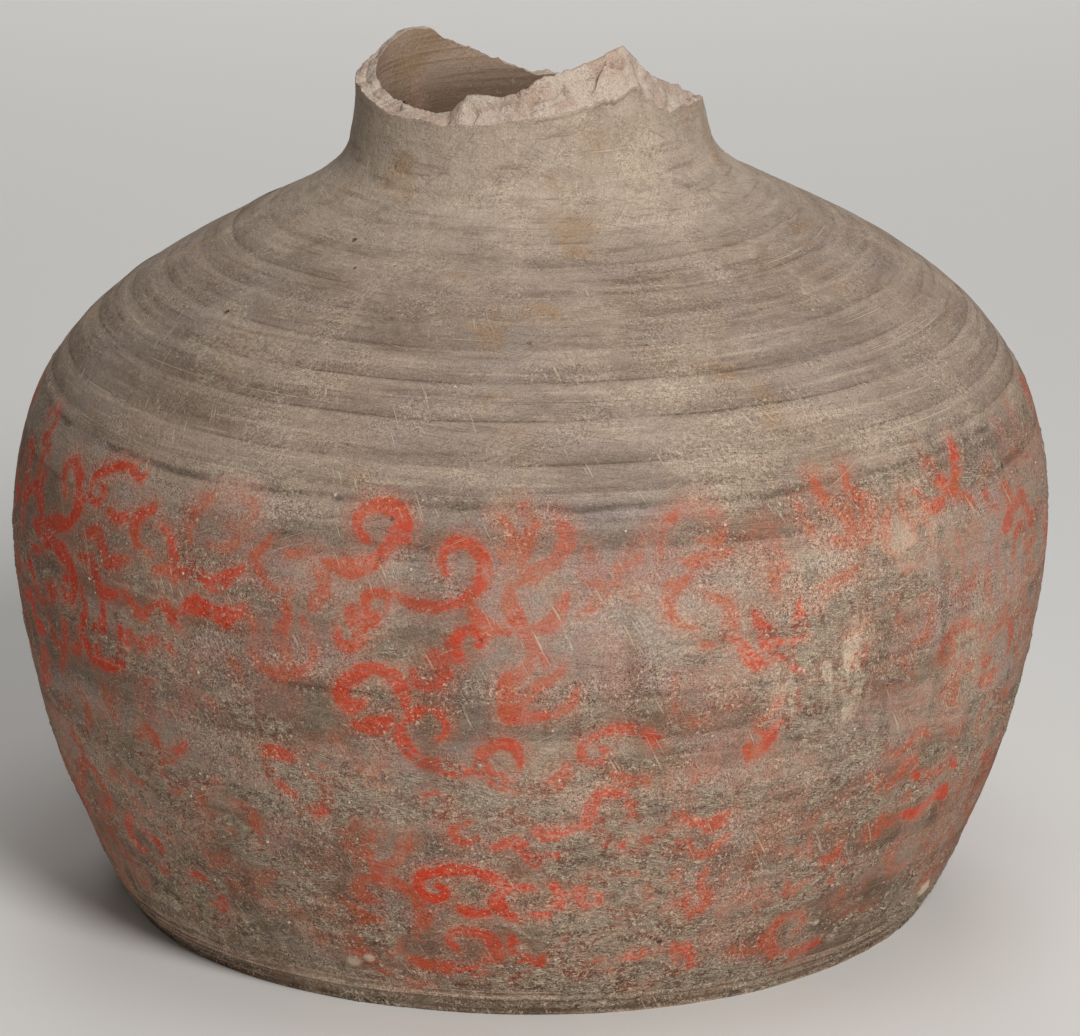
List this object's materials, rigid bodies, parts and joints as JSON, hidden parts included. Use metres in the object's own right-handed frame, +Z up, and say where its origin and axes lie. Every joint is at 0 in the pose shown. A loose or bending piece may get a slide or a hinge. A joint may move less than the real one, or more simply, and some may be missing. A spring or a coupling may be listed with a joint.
{
  "type": "pottery jar",
  "caption": "Squat round-shouldered earthenware storage jar with a wide flat base, a short neck broken off unevenly below its rim, and worn red brushwork.",
  "frame": {"origin": "centre of the flat base, on the surface that the jar stands on", "axes": "+Z up along the jar's axis, -Y towards the side with the deepest part of the break, +X to its right seen from there"},
  "size_m": [0.2996, 0.2996, 0.2545],
  "materials": {
    "dark_clay": "rough unglazed earthenware, encrusted",
    "grey_clay": "unglazed earthenware with a thin slip and worn red paint",
    "slip_clay": "smoothed unglazed earthenware with wheel bands",
    "pale_clay": "unglazed earthenware with a rough pale fracture"
  },
  "bodies": {
    "root": {"base_slab": "dark_clay", "foot_course": "dark_clay", "lower_wall_course": "dark_clay", "middle_wall_course": "grey_clay", "belly_course": "grey_clay", "upper_belly_course": "grey_clay", "lower_shoulder_course": "slip_clay", "upper_shoulder_course": "slip_clay", "neck_collar": "pale_clay"}
  },
  "joints": []
}
